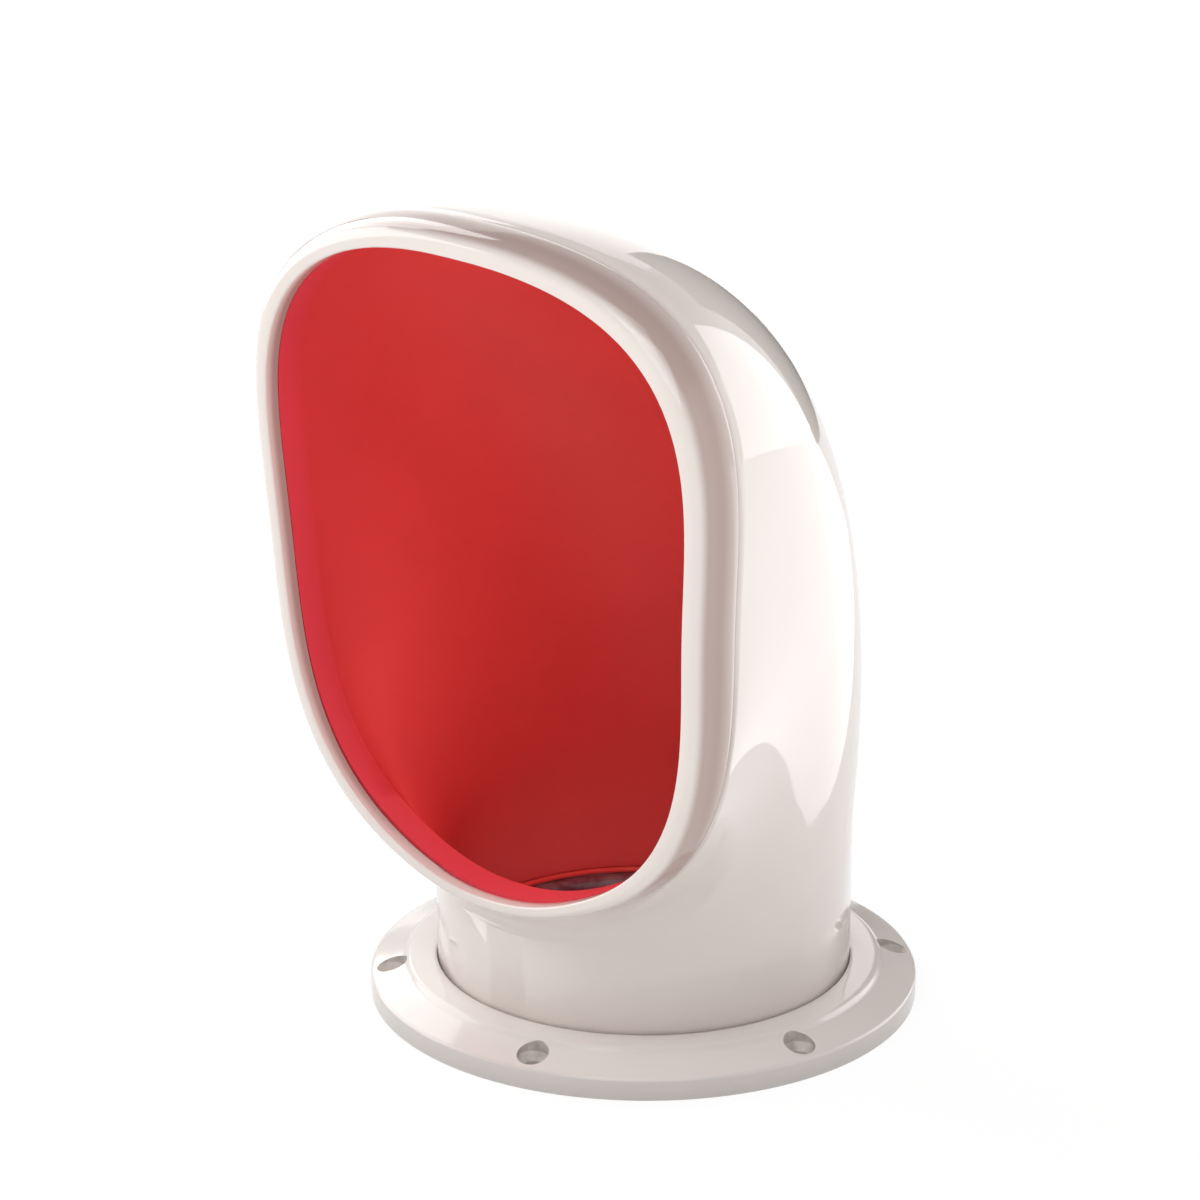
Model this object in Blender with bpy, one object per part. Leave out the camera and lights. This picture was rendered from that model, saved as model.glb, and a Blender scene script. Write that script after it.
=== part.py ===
"""Cowl vent: a soft cowl that turns and lifts on a domed deck ring.

Metres, +Z up. The origin is on the ring's axis at the deck. The mouth faces -Y
and the whole cowl is symmetric about the plane X = 0.
"""
import math

import bmesh
import bpy
from mathutils import Vector

# Fit between pieces
SEAT_GAP = 0.0003
RUNNING_GAP = 0.0008

# Neck of the cowl, which the ring, collar, seal and screen are sized from
NECK_RADIUS = 0.0567

# Deck ring
FLANGE_WIDTH = 0.0183
EDGE_HEIGHT = 0.0061
EDGE_FILLET = 0.0010
FLANGE_SLOPE = 0.327
SHOULDER_INSET = 0.0090
SHOULDER_WIDTH = 0.0022
SHOULDER_RISE = 0.0012
SHOULDER_SHAPE = ((0.25, 0.30), (0.65, 0.85))
CROWN_SWELL = 0.0004
CROWN_DROP = 0.0013
CROWN_STEPS = (0.3, 0.6, 0.85, 1.0)
CHANNEL_FLOOR = 0.0030
COLLAR_WALL = 0.0034
COLLAR_TOP = 0.0112
COLLAR_LEAD = 0.0008

# Countersunk screw holes
SCREW_HOLES = 6
SCREW_INSET = 0.0058
SCREW_RADIUS = 0.00225
SINK_RADIUS = 0.0042
SCREW_PHASE = math.radians(-13.4)

# Gasket under the flange
GASKET_WALL = 0.0015
GASKET_THICKNESS = 0.0015

# O-ring round the collar
SEAL_THICKNESS = 0.0018
SEAL_HEIGHT = 0.0080

# Insect screen in the bore
LEDGE_WIDTH = 0.0020
LEDGE_THICKNESS = 0.0014
LEDGE_TOP = 0.0034
SCREEN_RIM_WIDTH = 0.0032
SCREEN_RIM_HEIGHT = 0.0016
SCREEN_SPOKES = 6
SPOKE_WIDTH = 0.0016
SPOKE_HEIGHT = 0.0012
HUB_RADIUS = 0.0060
GAUZE_THICKNESS = 0.0004
CLIP_WIDTH = 0.0027
CLIP_HEIGHT = 0.0013
SNAP_BEAD = 0.0005

# Turning ring and the sleeve in the neck
GLIDE_THICKNESS = 0.0020
SLEEVE_WALL = 0.0015
SLEEVE_ABOVE_COLLAR = 0.0012
KEYS = 3
KEY_HEIGHT = 0.0030
KEY_ARC = math.radians(12)

# Cowl: walls, red lining and the height where the neck ends
SHELL_WALL = 0.0027
LINER_WALL = 0.0010
NECK_FRONT_TOP = 0.0333
NECK_BACK_TOP = 0.0561

# Cowl: mouth, as the inner edge of the lip
MOUTH_HALF_WIDTH = 0.0699
MOUTH_HALF_HEIGHT = 0.0847
MOUTH_OVERHANG = 0.0107
MOUTH_SILL = 0.0437
MOUTH_LEAN = math.radians(3.7)
MOUTH_TAPER = 0.121
SQUARENESS_TOP = 2.80
SQUARENESS_BOTTOM = 2.77
# Slight waves of the outline from its top round, as (waves per turn, share of the radius)
MOUTH_WAVES = ((3, 0.006), (4, -0.008), (5, -0.008), (6, 0.013))

# Cowl: lip bead round the mouth
LIP_WIDTH = 0.0072
LIP_DEPTH = 0.0124
LIP_FACE = 0.0050
LIP_FACE_SHAPE = ((0.5, 0.0), (0.8, 0.05), (1.0, 0.16))
LIP_BACK_SHAPE = ((0.82, 0.32), (0.94, 0.62), (1.01, 0.90))
LIP_CREASE = 0.0005
LINING_SETBACK = 0.0045
LIP_THINNING = 0.52
LIP_SHALLOWING = 0.67
LIP_BOTTOM_SHARPNESS = 2.34
LIP_BLEND = 1.7
FLARE_LENGTH = 0.34

# Cowl: crown, from the top of the mouth over to the back of the neck
CROWN_RISE = math.radians(9.3)
CROWN_REACH = 0.0631
BACK_REACH = 0.0802
WIDTH_DELAY = 1.498
WIDTH_FULLNESS = 1.38
SQUARENESS_FADE = 1.05

# Fineness
AROUND_COWL = 48
ALONG_COWL = 12
AROUND_RING = 48
AROUND_SMALL = 20
ARC_STEPS = 3

# Sizes that follow
RING_RADIUS = NECK_RADIUS + FLANGE_WIDTH
SHOULDER_RADIUS = RING_RADIUS - SHOULDER_INSET
SCREW_CIRCLE_RADIUS = RING_RADIUS - SCREW_INSET
SLEEVE_OUTER = NECK_RADIUS - SHELL_WALL - SEAT_GAP
SLEEVE_INNER = SLEEVE_OUTER - SLEEVE_WALL
COLLAR_RADIUS = SLEEVE_INNER - RUNNING_GAP
BORE_RADIUS = COLLAR_RADIUS - COLLAR_WALL
CHANNEL_RADIUS = NECK_RADIUS + RUNNING_GAP
GASKET_GROOVE_INNER = CHANNEL_RADIUS + GASKET_WALL
GASKET_GROOVE_OUTER = SCREW_CIRCLE_RADIUS - SCREW_RADIUS - GASKET_WALL
GLIDE_BOTTOM = CHANNEL_FLOOR + SEAT_GAP
GLIDE_TOP = GLIDE_BOTTOM + GLIDE_THICKNESS
NECK_BOTTOM = GLIDE_TOP + SEAT_GAP
SLEEVE_TOP = COLLAR_TOP + SLEEVE_ABOVE_COLLAR
LINER_BOTTOM = SLEEVE_TOP + SEAT_GAP
LINING_INSET = SHELL_WALL + SEAT_GAP
SCREEN_BOTTOM = LEDGE_TOP + SEAT_GAP
SCREEN_RADIUS = BORE_RADIUS - SEAT_GAP
GAUZE_BOTTOM = SCREEN_BOTTOM + SCREEN_RIM_HEIGHT + SEAT_GAP
CLIP_BOTTOM = GAUZE_BOTTOM + GAUZE_THICKNESS + SEAT_GAP
BEAD_BOTTOM = CLIP_BOTTOM + CLIP_HEIGHT + SEAT_GAP
MOUTH_CENTRE_Y = -NECK_RADIUS - MOUTH_OVERHANG
MOUTH_CENTRE_Z = MOUTH_SILL + MOUTH_HALF_HEIGHT


def clear_scene():
    for obj in list(bpy.data.objects):
        bpy.data.objects.remove(obj, do_unlink=True)


def material(name, colour, roughness, metallic=0.0):
    mat = bpy.data.materials.new(name)
    mat.use_nodes = True
    shader = mat.node_tree.nodes["Principled BSDF"]
    shader.inputs["Base Color"].default_value = (*colour, 1.0)
    shader.inputs["Roughness"].default_value = roughness
    shader.inputs["Metallic"].default_value = metallic
    return mat


def link(name, mesh, mat=None):
    obj = bpy.data.objects.new(name, mesh)
    bpy.context.collection.objects.link(obj)
    if mat:
        mesh.materials.append(mat)
    mesh.shade_smooth()
    mesh.set_sharp_from_angle(angle=math.radians(35))
    return obj


def closed_loft(name, rings, mat):
    """Joins equal rings in turn, and the last to the first: a closed tube wall."""
    bm = bmesh.new()
    loops = [[bm.verts.new(point) for point in ring] for ring in rings]
    count = len(loops[0])
    for loop, following in zip(loops, loops[1:] + loops[:1]):
        for i in range(count):
            j = (i + 1) % count
            bm.faces.new((loop[i], loop[j], following[j], following[i]))
    bmesh.ops.recalc_face_normals(bm, faces=bm.faces)
    mesh = bpy.data.meshes.new(name)
    bm.to_mesh(mesh)
    bm.free()
    return link(name, mesh, mat)


def circle(radius, height, steps=AROUND_RING):
    turn = 2 * math.pi / steps
    return [(radius * math.cos(i * turn), radius * math.sin(i * turn), height) for i in range(steps)]


def turned(name, profile, mat):
    """Turns a closed outline of (radius, height) points about Z."""
    return closed_loft(name, [circle(radius, height) for radius, height in profile], mat)


def arc(centre_r, centre_z, radius, start_deg, end_deg, steps=ARC_STEPS):
    points = []
    for i in range(steps + 1):
        angle = math.radians(start_deg + (end_deg - start_deg) * i / steps)
        points.append((centre_r + radius * math.cos(angle), centre_z + radius * math.sin(angle)))
    return points


def plug(name, radius_bottom, radius_top, bottom, top, mat=None, steps=AROUND_SMALL):
    """A solid disc, cylinder or cone on the Z axis."""
    bm = bmesh.new()
    bmesh.ops.create_cone(bm, cap_ends=True, cap_tris=False, segments=steps, radius1=radius_bottom,
                          radius2=radius_top, depth=top - bottom)
    bmesh.ops.translate(bm, verts=bm.verts, vec=(0, 0, (top + bottom) / 2))
    mesh = bpy.data.meshes.new(name)
    bm.to_mesh(mesh)
    bm.free()
    return link(name, mesh, mat)


def wedge(name, inner, outer, bottom, top, middle, width, steps=4):
    """A block that follows the ring over the angle width, centred on the angle middle."""
    angles = [middle + width * (i / steps - 0.5) for i in range(steps + 1)]
    outline = [(outer * math.cos(a), outer * math.sin(a)) for a in angles]
    outline += [(inner * math.cos(a), inner * math.sin(a)) for a in reversed(angles)]
    bm = bmesh.new()
    base = bm.faces.new([bm.verts.new((x, y, bottom)) for x, y in outline])
    lid = bmesh.ops.extrude_face_region(bm, geom=[base])["geom"]
    bmesh.ops.translate(bm, vec=(0, 0, top - bottom), verts=[v for v in lid if isinstance(v, bmesh.types.BMVert)])
    bmesh.ops.recalc_face_normals(bm, faces=bm.faces)
    mesh = bpy.data.meshes.new(name)
    bm.to_mesh(mesh)
    bm.free()
    return link(name, mesh)


def beam(name, inner, outer, width, bottom, top, angle):
    """A straight bar from radius inner to radius outer at an angle about Z."""
    bm = bmesh.new()
    bmesh.ops.create_cube(bm, size=1.0)
    bmesh.ops.scale(bm, vec=(outer - inner, width, top - bottom), verts=bm.verts)
    bmesh.ops.translate(bm, vec=((outer + inner) / 2, 0, (top + bottom) / 2), verts=bm.verts)
    mesh = bpy.data.meshes.new(name)
    bm.to_mesh(mesh)
    bm.free()
    obj = link(name, mesh)
    obj.rotation_euler.z = angle
    return obj


def combine(target, tool, operation):
    """Adds or cuts the tool, which is left behind as a hidden guide."""
    tool.hide_render = True
    tool.display_type = "WIRE"
    modifier = target.modifiers.new(tool.name, "BOOLEAN")
    modifier.operation = operation
    modifier.object = tool
    modifier.solver = "EXACT"


# Deck ring and what stays on the deck

def flange_height(radius):
    return EDGE_HEIGHT + FLANGE_SLOPE * (RING_RADIUS - EDGE_FILLET - radius)


def flange_profile():
    gasket_roof = GASKET_THICKNESS + SEAT_GAP
    foot = flange_height(SHOULDER_RADIUS)
    shoulder = SHOULDER_RADIUS - SHOULDER_WIDTH
    crown = foot + SHOULDER_RISE
    groove_floor = SLEEVE_INNER - 2 * SEAT_GAP - SEAL_THICKNESS
    groove_half = SEAL_THICKNESS / 2 + SEAT_GAP
    underside = [(BORE_RADIUS, 0.0), (GASKET_GROOVE_INNER, 0.0), (GASKET_GROOVE_INNER, gasket_roof),
                 (GASKET_GROOVE_OUTER, gasket_roof), (GASKET_GROOVE_OUTER, 0.0), (RING_RADIUS, 0.0)]
    edge = arc(RING_RADIUS - EDGE_FILLET, EDGE_HEIGHT - EDGE_FILLET, EDGE_FILLET, 0, 90)
    dome = [(SHOULDER_RADIUS, foot)]
    for inward, upward in SHOULDER_SHAPE:
        dome.append((SHOULDER_RADIUS - inward * SHOULDER_WIDTH, foot + upward * SHOULDER_RISE))
    dome.append((shoulder, crown))
    land = shoulder - CHANNEL_RADIUS
    for step in CROWN_STEPS:
        dome.append((shoulder - step * land, crown + CROWN_SWELL * step - CROWN_DROP * step ** 4))
    channel = [(CHANNEL_RADIUS, CHANNEL_FLOOR), (COLLAR_RADIUS, CHANNEL_FLOOR)]
    collar = [(COLLAR_RADIUS, SEAL_HEIGHT - groove_half), (groove_floor, SEAL_HEIGHT - groove_half),
              (groove_floor, SEAL_HEIGHT + groove_half), (COLLAR_RADIUS, SEAL_HEIGHT + groove_half),
              (COLLAR_RADIUS, COLLAR_TOP - COLLAR_LEAD), (COLLAR_RADIUS - COLLAR_LEAD, COLLAR_TOP),
              (BORE_RADIUS + COLLAR_LEAD, COLLAR_TOP), (BORE_RADIUS, COLLAR_TOP - COLLAR_LEAD)]
    bead = [(BORE_RADIUS, BEAD_BOTTOM + 2 * SNAP_BEAD), (BORE_RADIUS - SNAP_BEAD, BEAD_BOTTOM + 1.5 * SNAP_BEAD),
            (BORE_RADIUS - SNAP_BEAD, BEAD_BOTTOM + 0.5 * SNAP_BEAD), (BORE_RADIUS, BEAD_BOTTOM)]
    ledge = [(BORE_RADIUS, LEDGE_TOP), (BORE_RADIUS - LEDGE_WIDTH, LEDGE_TOP),
             (BORE_RADIUS - LEDGE_WIDTH, LEDGE_TOP - LEDGE_THICKNESS / 2),
             (BORE_RADIUS, LEDGE_TOP - 1.5 * LEDGE_THICKNESS)]
    return underside + edge + dome + channel + collar + bead + ledge


def screw_cutter(index):
    """Clearance hole, 90 degree countersink and the pocket above it, on one axis."""
    sink_top = flange_height(SCREW_CIRCLE_RADIUS + SINK_RADIUS)
    sink_bottom = sink_top - (SINK_RADIUS - SCREW_RADIUS)
    ceiling = flange_height(SCREW_CIRCLE_RADIUS - 2 * SINK_RADIUS)
    profile = [(SCREW_RADIUS, -CHANNEL_FLOOR), (SCREW_RADIUS, sink_bottom), (SINK_RADIUS, sink_top),
               (SINK_RADIUS, ceiling)]
    bm = bmesh.new()
    rings = [[bm.verts.new(point) for point in circle(r, z, AROUND_SMALL)] for r, z in profile]
    for lower, upper in zip(rings, rings[1:]):
        for i in range(AROUND_SMALL):
            j = (i + 1) % AROUND_SMALL
            bm.faces.new((lower[i], lower[j], upper[j], upper[i]))
    bm.faces.new(list(reversed(rings[0])))
    bm.faces.new(rings[-1])
    bmesh.ops.recalc_face_normals(bm, faces=bm.faces)
    mesh = bpy.data.meshes.new("screw_cutter")
    bm.to_mesh(mesh)
    bm.free()
    cutter = link("screw_cutter_%d" % (index + 1), mesh)
    angle = SCREW_PHASE + 2 * math.pi * index / SCREW_HOLES
    cutter.location = (SCREW_CIRCLE_RADIUS * math.cos(angle), SCREW_CIRCLE_RADIUS * math.sin(angle), 0)
    return cutter


def make_deck_flange(mat):
    flange = turned("deck_flange", flange_profile(), mat)
    for index in range(SCREW_HOLES):
        combine(flange, screw_cutter(index), "DIFFERENCE")


def make_gasket(mat):
    inner, outer = GASKET_GROOVE_INNER + SEAT_GAP, GASKET_GROOVE_OUTER - SEAT_GAP
    profile = [(inner, 0.0), (outer, 0.0), (outer, GASKET_THICKNESS), (inner, GASKET_THICKNESS)]
    turned("deck_gasket", profile, mat)


def make_neck_seal(mat):
    middle = SLEEVE_INNER - SEAT_GAP - SEAL_THICKNESS / 2
    section = arc(middle, SEAL_HEIGHT, SEAL_THICKNESS / 2, 0, 315, 7)
    turned("neck_seal", section, mat)


def make_screen(frame_mat, gauze_mat):
    rim_inner = SCREEN_RADIUS - SCREEN_RIM_WIDTH
    top = SCREEN_BOTTOM + SCREEN_RIM_HEIGHT
    profile = [(rim_inner, SCREEN_BOTTOM), (SCREEN_RADIUS, SCREEN_BOTTOM), (SCREEN_RADIUS, top), (rim_inner, top)]
    frame = turned("screen_frame", profile, frame_mat)
    spoke_top = SCREEN_BOTTOM + (SCREEN_RIM_HEIGHT + SPOKE_HEIGHT) / 2
    spoke_bottom = spoke_top - SPOKE_HEIGHT
    for index in range(SCREEN_SPOKES):
        angle = 2 * math.pi * (index + 0.5) / SCREEN_SPOKES
        spoke = beam("screen_spoke_%d" % (index + 1), HUB_RADIUS / 2, rim_inner + SCREEN_RIM_WIDTH / 2,
                     SPOKE_WIDTH, spoke_bottom, spoke_top, angle)
        combine(frame, spoke, "UNION")
    hub = plug("screen_hub", HUB_RADIUS, HUB_RADIUS, SCREEN_BOTTOM, top)
    combine(frame, hub, "UNION")
    plug("screen_gauze", SCREEN_RADIUS - SEAT_GAP, SCREEN_RADIUS - SEAT_GAP, GAUZE_BOTTOM,
         GAUZE_BOTTOM + GAUZE_THICKNESS, gauze_mat, AROUND_RING)
    clip_top = CLIP_BOTTOM + CLIP_HEIGHT
    clip_inner = SCREEN_RADIUS - CLIP_WIDTH
    clip = [(clip_inner, CLIP_BOTTOM), (SCREEN_RADIUS, CLIP_BOTTOM), (SCREEN_RADIUS, clip_top),
            (clip_inner + CLIP_HEIGHT / 2, clip_top), (clip_inner, CLIP_BOTTOM + CLIP_HEIGHT / 2)]
    turned("screen_clip", clip, frame_mat)


# Turning ring

def key_angle(index):
    return 2 * math.pi * index / KEYS + math.pi / 2


def make_glide_ring(mat):
    inner, outer = COLLAR_RADIUS + SEAT_GAP, CHANNEL_RADIUS - SEAT_GAP
    profile = [(inner, GLIDE_BOTTOM), (outer, GLIDE_BOTTOM), (outer, GLIDE_TOP), (inner, GLIDE_TOP)]
    ring = turned("glide_ring", profile, mat)
    root = GLIDE_TOP - GLIDE_THICKNESS / 2
    for index in range(KEYS):
        key = wedge("glide_key_%d" % (index + 1), SLEEVE_INNER, SLEEVE_OUTER, root, GLIDE_TOP + KEY_HEIGHT,
                    key_angle(index), KEY_ARC)
        combine(ring, key, "UNION")


# Cowl

def outline(angle, half_width, half_height, square_top, square_bottom, taper, wave_share=1.0):
    """A rounded square in polar form. It is wider at the top by the taper."""
    cosine, sine = math.cos(angle), math.sin(angle)
    power = square_bottom + (square_top - square_bottom) * (1 + sine) / 2
    spread = abs(cosine / half_width) ** power + abs(sine / half_height) ** power
    waves = sum(size * math.cos(count * (angle - math.pi / 2)) for count, size in MOUTH_WAVES)
    radius = spread ** (-1 / power) * (1 + wave_share * waves)
    across, up = radius * cosine, radius * sine
    return across * (1 + taper * up / half_height), up


def cowl_angles():
    return [2 * math.pi * i / AROUND_COWL for i in range(AROUND_COWL)]


def mouth_axes():
    """Directions up along the mouth and back into it, as (y, z)."""
    up = Vector((-math.sin(MOUTH_LEAN), math.cos(MOUTH_LEAN)))
    inward = Vector((math.cos(MOUTH_LEAN), math.sin(MOUTH_LEAN)))
    return up, inward


def mouth_point(angle, out, depth):
    """A point of the lip, out from its inner edge and back from its face."""
    up, inward = mouth_axes()
    across, height = outline(angle, MOUTH_HALF_WIDTH + out, MOUTH_HALF_HEIGHT + out, SQUARENESS_TOP,
                             SQUARENESS_BOTTOM, MOUTH_TAPER)
    place = Vector((MOUTH_CENTRE_Y, MOUTH_CENTRE_Z)) + height * up + depth * inward
    return Vector((across, place.x, place.y))


def lip_point(angle, out, depth):
    """The lip gets thinner and shallower where it meets the neck at the bottom."""
    bottom = max(-math.sin(angle), 0.0) ** LIP_BOTTOM_SHARPNESS
    thin = 1 - LIP_THINNING * bottom * max(out, 0.0) / LIP_WIDTH
    shallow = 1 - LIP_SHALLOWING * bottom * depth / LIP_DEPTH
    return mouth_point(angle, out * thin, depth * shallow)


def bezier(points, t):
    a, b, c, d = points
    return (1 - t) ** 3 * a + 3 * t * (1 - t) ** 2 * b + 3 * t * t * (1 - t) * c + t ** 3 * d


def guide_curves():
    """The crown over the top and back, and the short run under the lip, in the plane X = 0."""
    up, inward = mouth_axes()
    centre = Vector((MOUTH_CENTRE_Y, MOUTH_CENTRE_Z)) + LIP_DEPTH * inward
    half = MOUTH_HALF_HEIGHT + LIP_WIDTH
    top, bottom = centre + half * up, centre - half * up
    back = Vector((NECK_RADIUS, NECK_BACK_TOP))
    rise = Vector((math.cos(CROWN_RISE), math.sin(CROWN_RISE)))
    crown = (top, top + CROWN_REACH * rise, back + Vector((0, BACK_REACH)), back)
    return crown, (bottom, Vector((-NECK_RADIUS, NECK_FRONT_TOP)))


def body_ring(t, inset, follow_lip):
    """A section of the cowl, from t = 0 behind the lip to t = 1 at the neck."""
    crown, (under_start, under_end) = guide_curves()
    high = bezier(crown, t)
    low = under_start.lerp(under_end, t)
    up = (high - low).normalized()
    centre = (high + low) / 2
    ease = (1 - t ** WIDTH_DELAY) ** WIDTH_FULLNESS
    fade = 1 - t ** SQUARENESS_FADE
    half_width = NECK_RADIUS + (MOUTH_HALF_WIDTH + LIP_WIDTH - NECK_RADIUS) * ease - inset
    half_height = (high - low).length / 2 - inset
    square_top, square_bottom = 2 + (SQUARENESS_TOP - 2) * fade, 2 + (SQUARENESS_BOTTOM - 2) * fade
    taper = MOUTH_TAPER * (1 - t)
    ring = []
    for angle in cowl_angles():
        across, height = outline(angle, half_width, half_height, square_top, square_bottom, taper, fade)
        place = centre + height * up
        point = Vector((across, place.x, place.y))
        if follow_lip:
            crease = lip_point(angle, LIP_WIDTH, LIP_DEPTH) - mouth_point(angle, LIP_WIDTH, LIP_DEPTH)
            point += crease * (1 - t) ** LIP_BLEND
        ring.append(point)
    return ring


def wall_at(t, inset):
    """The wall is thick behind the lip and thins to its full inset over the flare."""
    remaining = max(1 - t / FLARE_LENGTH, 0.0) ** 2
    extra = LIP_WIDTH - SHELL_WALL - SEAT_GAP - LINER_WALL
    return inset + extra * remaining


def neck_circle(radius, height):
    return [(radius * math.cos(a), radius * math.sin(a), height) for a in cowl_angles()]


def stations():
    return [i / ALONG_COWL for i in range(1, ALONG_COWL + 1)]


def lip_rings():
    corner = LIP_FACE / 8
    steps = [(0.0, LINING_SETBACK), (0.0, corner), (0.3 * corner, 0.3 * corner), (corner, 0.0)]
    steps += [(out * LIP_FACE, depth * LIP_DEPTH) for out, depth in LIP_FACE_SHAPE]
    steps += [(out * LIP_WIDTH, depth * LIP_DEPTH) for out, depth in LIP_BACK_SHAPE]
    steps.append((LIP_WIDTH - LIP_CREASE, LIP_DEPTH))
    return [[lip_point(angle, out, depth) for angle in cowl_angles()] for out, depth in steps]


def inner_surface(inset, edge_out, edge_depth, bottom_radius, bottom):
    """Rings of a skin inside the cowl, from the neck up to the lip."""
    rings = [neck_circle(bottom_radius, bottom)]
    for t in reversed(stations()):
        rings.append(body_ring(t, wall_at(t, inset), False))
    rings.append([mouth_point(angle, edge_out, LIP_DEPTH) for angle in cowl_angles()])
    rings.append([mouth_point(angle, edge_out, edge_depth) for angle in cowl_angles()])
    return rings


def make_cowl_shell(mat):
    rings = lip_rings()
    for t in stations():
        rings.append(body_ring(t, 0.0, True))
    rings.append(neck_circle(NECK_RADIUS, NECK_BOTTOM))
    pocket = NECK_RADIUS - SHELL_WALL
    rings.append(neck_circle(pocket, NECK_BOTTOM))
    rings += inner_surface(SHELL_WALL, LINER_WALL + SEAT_GAP, LINING_SETBACK, pocket, LINER_BOTTOM)
    closed_loft("cowl_shell", rings, mat)


def make_cowl_liner(mat):
    outer_radius = NECK_RADIUS - LINING_INSET
    edge = LINING_SETBACK + SEAT_GAP
    outside = inner_surface(LINING_INSET, LINER_WALL, edge, outer_radius, LINER_BOTTOM)
    inside = inner_surface(LINING_INSET + LINER_WALL, 0.0, edge, outer_radius - LINER_WALL, LINER_BOTTOM)
    closed_loft("cowl_liner", outside + list(reversed(inside)), mat)


def make_neck_sleeve(mat):
    profile = [(SLEEVE_INNER, NECK_BOTTOM), (SLEEVE_OUTER, NECK_BOTTOM), (SLEEVE_OUTER, SLEEVE_TOP),
               (SLEEVE_INNER + SLEEVE_WALL / 2, SLEEVE_TOP), (SLEEVE_INNER, SLEEVE_TOP - SLEEVE_WALL / 2)]
    sleeve = turned("neck_sleeve", profile, mat)
    room = SEAT_GAP / SLEEVE_INNER
    for index in range(KEYS):
        notch = wedge("sleeve_notch_%d" % (index + 1), COLLAR_RADIUS, NECK_RADIUS, GLIDE_BOTTOM,
                      GLIDE_TOP + KEY_HEIGHT + SEAT_GAP, key_angle(index), KEY_ARC + 2 * room)
        combine(sleeve, notch, "DIFFERENCE")


def main():
    clear_scene()
    white_plastic = material("white_plastic", (0.86, 0.84, 0.82), 0.22)
    white_silicone = material("white_silicone", (0.90, 0.88, 0.87), 0.12)
    red_silicone = material("red_silicone", (0.62, 0.025, 0.03), 0.30)
    natural_nylon = material("natural_nylon", (0.80, 0.78, 0.70), 0.40)
    black_rubber = material("black_rubber", (0.02, 0.02, 0.02), 0.70)
    steel_gauze = material("steel_gauze", (0.55, 0.56, 0.57), 0.35, 1.0)
    make_deck_flange(white_plastic)
    make_gasket(black_rubber)
    make_neck_seal(black_rubber)
    make_screen(white_plastic, steel_gauze)
    make_glide_ring(natural_nylon)
    make_cowl_shell(white_silicone)
    make_cowl_liner(red_silicone)
    make_neck_sleeve(natural_nylon)


if __name__ == "__main__":
    main()
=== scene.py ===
"""Cowl vent: a glossy white scoop with a red lining on a domed deck ring.

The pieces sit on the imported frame, in metres, with +Z up and the mouth facing -Y.
Laid out as an add-on whose operators each make one piece or one group of like pieces.
"""

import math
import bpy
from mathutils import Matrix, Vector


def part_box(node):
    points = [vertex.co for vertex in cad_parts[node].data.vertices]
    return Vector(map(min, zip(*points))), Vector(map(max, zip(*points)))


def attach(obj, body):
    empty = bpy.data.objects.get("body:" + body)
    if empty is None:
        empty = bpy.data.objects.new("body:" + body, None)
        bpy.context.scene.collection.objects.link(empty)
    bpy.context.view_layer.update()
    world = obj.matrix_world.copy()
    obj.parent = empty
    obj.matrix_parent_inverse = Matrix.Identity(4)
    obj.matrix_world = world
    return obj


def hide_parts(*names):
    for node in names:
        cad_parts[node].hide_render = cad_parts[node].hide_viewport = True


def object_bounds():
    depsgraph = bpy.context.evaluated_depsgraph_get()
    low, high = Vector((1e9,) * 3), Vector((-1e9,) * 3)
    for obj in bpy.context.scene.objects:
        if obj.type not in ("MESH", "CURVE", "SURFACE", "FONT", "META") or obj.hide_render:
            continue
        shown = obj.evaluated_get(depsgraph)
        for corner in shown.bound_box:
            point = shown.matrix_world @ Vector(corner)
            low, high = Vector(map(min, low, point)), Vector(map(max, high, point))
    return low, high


bl_info = {
    "name": "Cowl vent",
    "version": (1, 0, 0),
    "blender": (4, 5, 0),
    "location": "View3D > Sidebar > Cowl vent",
    "description": "Builds a soft cowl vent with its deck ring, insect screen and studio",
    "category": "Add Mesh",
}

import bmesh
import bpy
from bpy.props import FloatProperty, FloatVectorProperty, IntProperty, PointerProperty
from mathutils import Matrix, Vector

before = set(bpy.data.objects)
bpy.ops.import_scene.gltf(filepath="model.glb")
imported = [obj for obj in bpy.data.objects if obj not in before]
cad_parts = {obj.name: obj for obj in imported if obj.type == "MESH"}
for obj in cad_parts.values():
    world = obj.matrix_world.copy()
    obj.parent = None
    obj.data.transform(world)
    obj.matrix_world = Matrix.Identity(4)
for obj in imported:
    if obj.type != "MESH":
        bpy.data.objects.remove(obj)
CAD_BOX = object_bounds()
RING_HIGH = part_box("deck_flange")[1]
GASKET_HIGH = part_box("deck_gasket")[1]
SEAL_LOW, SEAL_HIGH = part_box("neck_seal")
FRAME_LOW, FRAME_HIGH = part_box("screen_frame")
CLIP_LOW, CLIP_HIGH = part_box("screen_clip")
GAUZE_LOW, GAUZE_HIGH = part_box("screen_gauze")
GLIDE_LOW, GLIDE_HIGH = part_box("glide_ring")
SLEEVE_LOW, SLEEVE_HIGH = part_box("neck_sleeve")

# Fineness of the mesh
AROUND_COWL = 176
ALONG_COWL = 44
AROUND_RING = 240
SECTION_STEPS = 5

# Gaps between pieces that touch and between pieces that slide
SEAT_GAP = 0.0003
RUNNING_GAP = 0.0008

# Roundings of edges
FINE_EDGE = 0.0002
EDGE = 0.0003
SOFT_EDGE = 0.0004

# Edges sharper than these angles, in degrees, are shaded sharp
SOFT_SHADING = 50
PLAIN_SHADING = 35
RING_SHADING = 32

# From the object down to the floor
FLOOR_GAP = 0.0002


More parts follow.
